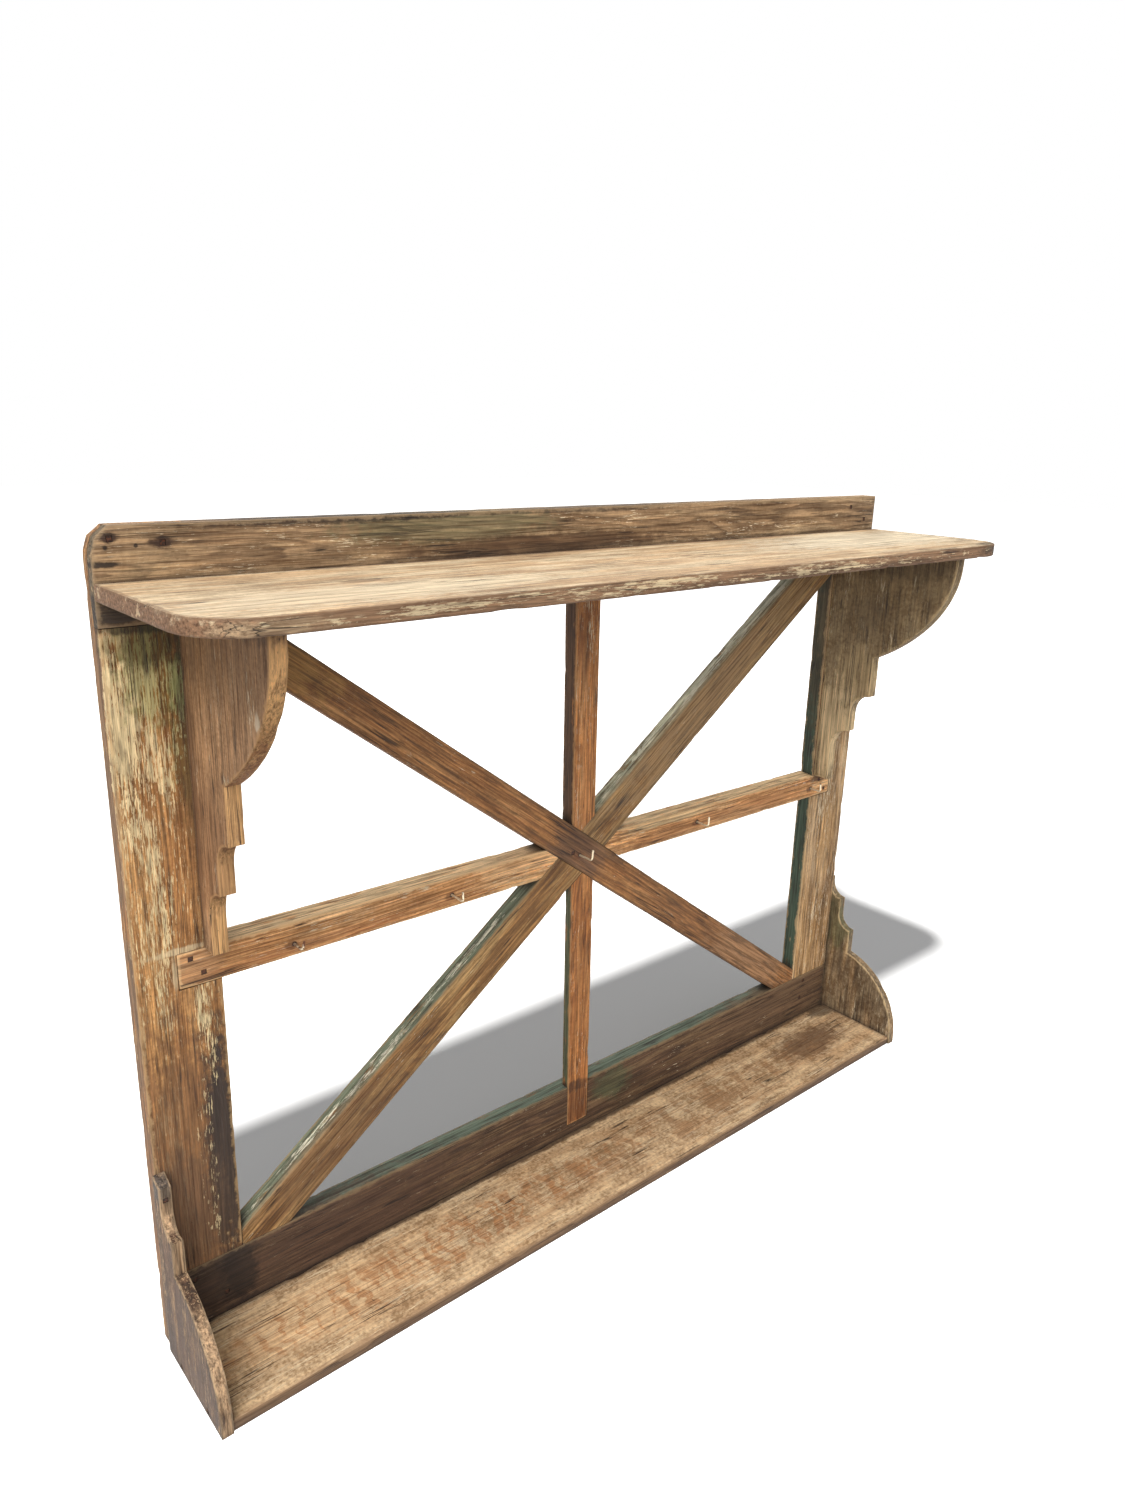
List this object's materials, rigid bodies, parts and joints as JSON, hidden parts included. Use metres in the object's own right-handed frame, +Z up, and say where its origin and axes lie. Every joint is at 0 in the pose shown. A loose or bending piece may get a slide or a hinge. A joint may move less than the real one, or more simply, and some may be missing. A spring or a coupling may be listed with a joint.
{
  "type": "wall shelf",
  "caption": "Old pine wall shelf with a crossed lattice frame, a long upper shelf on scrolled brackets, a tray shelf below between scrolled cheeks, and screw hooks along the middle rail",
  "frame": {"origin": "centre of the underside: middle of the overall width and of the overall depth, at the lowest level", "axes": "+X along the shelf towards its right end as seen from the room, +Y towards the wall, +Z up"},
  "size_m": [1.1154, 0.236, 0.844],
  "materials": {
    "stile_left": "matte",
    "stile_right": "matte",
    "top_rail": "matte",
    "bottom_rail": "matte",
    "mid_rail": "matte",
    "diagonal_falling": "matte",
    "diagonal_rising": "matte",
    "upright_upper": "matte",
    "upright_lower": "matte",
    "upper_shelf": "matte",
    "tray_shelf": "matte",
    "bracket_left": "matte",
    "bracket_right": "matte",
    "cheek_left": "matte",
    "cheek_right": "matte",
    "hook_wire": "satin",
    "nail_iron": "matte"
  },
  "bodies": {
    "root": {"stile_left": "stile_left", "stile_right": "stile_right", "top_rail": "top_rail", "bottom_rail": "bottom_rail", "mid_rail": "mid_rail", "diagonal_falling": "diagonal_falling", "diagonal_rising": "diagonal_rising", "upright_upper": "upright_upper", "upright_lower": "upright_lower", "upper_shelf": "upper_shelf", "tray_shelf": "tray_shelf", "bracket_left": "bracket_left", "bracket_right": "bracket_right", "cheek_left": "cheek_left", "cheek_right": "cheek_right", "hook_1": "hook_wire", "hook_2": "hook_wire", "hook_3": "hook_wire", "hook_4": "hook_wire", "hook_5": "hook_wire", "nail_top_left_1": "nail_iron", "nail_top_left_2": "nail_iron", "nail_top_right_1": "nail_iron", "nail_top_right_2": "nail_iron", "nail_mid_left_1": "nail_iron", "nail_mid_left_2": "nail_iron", "nail_mid_right_1": "nail_iron", "nail_mid_right_2": "nail_iron", "nail_bottom_left_1": "nail_iron", "nail_bottom_left_2": "nail_iron", "nail_bottom_right_1": "nail_iron", "nail_bottom_right_2": "nail_iron", "nail_crossing": "nail_iron", "nail_cheek_edge": "nail_iron", "nail_bracket_left_1": "nail_iron", "nail_bracket_left_2": "nail_iron", "nail_bracket_right_1": "nail_iron", "nail_bracket_right_2": "nail_iron", "nail_shelf_back_1": "nail_iron", "nail_shelf_back_2": "nail_iron", "nail_shelf_back_3": "nail_iron", "nail_tray_back_1": "nail_iron", "nail_tray_back_2": "nail_iron", "nail_tray_back_3": "nail_iron", "nail_tray_left_1": "nail_iron", "nail_tray_left_2": "nail_iron", "nail_tray_right_1": "nail_iron", "nail_tray_right_2": "nail_iron", "nail_cheek_right_1": "nail_iron", "nail_cheek_right_2": "nail_iron"}
  },
  "joints": []
}
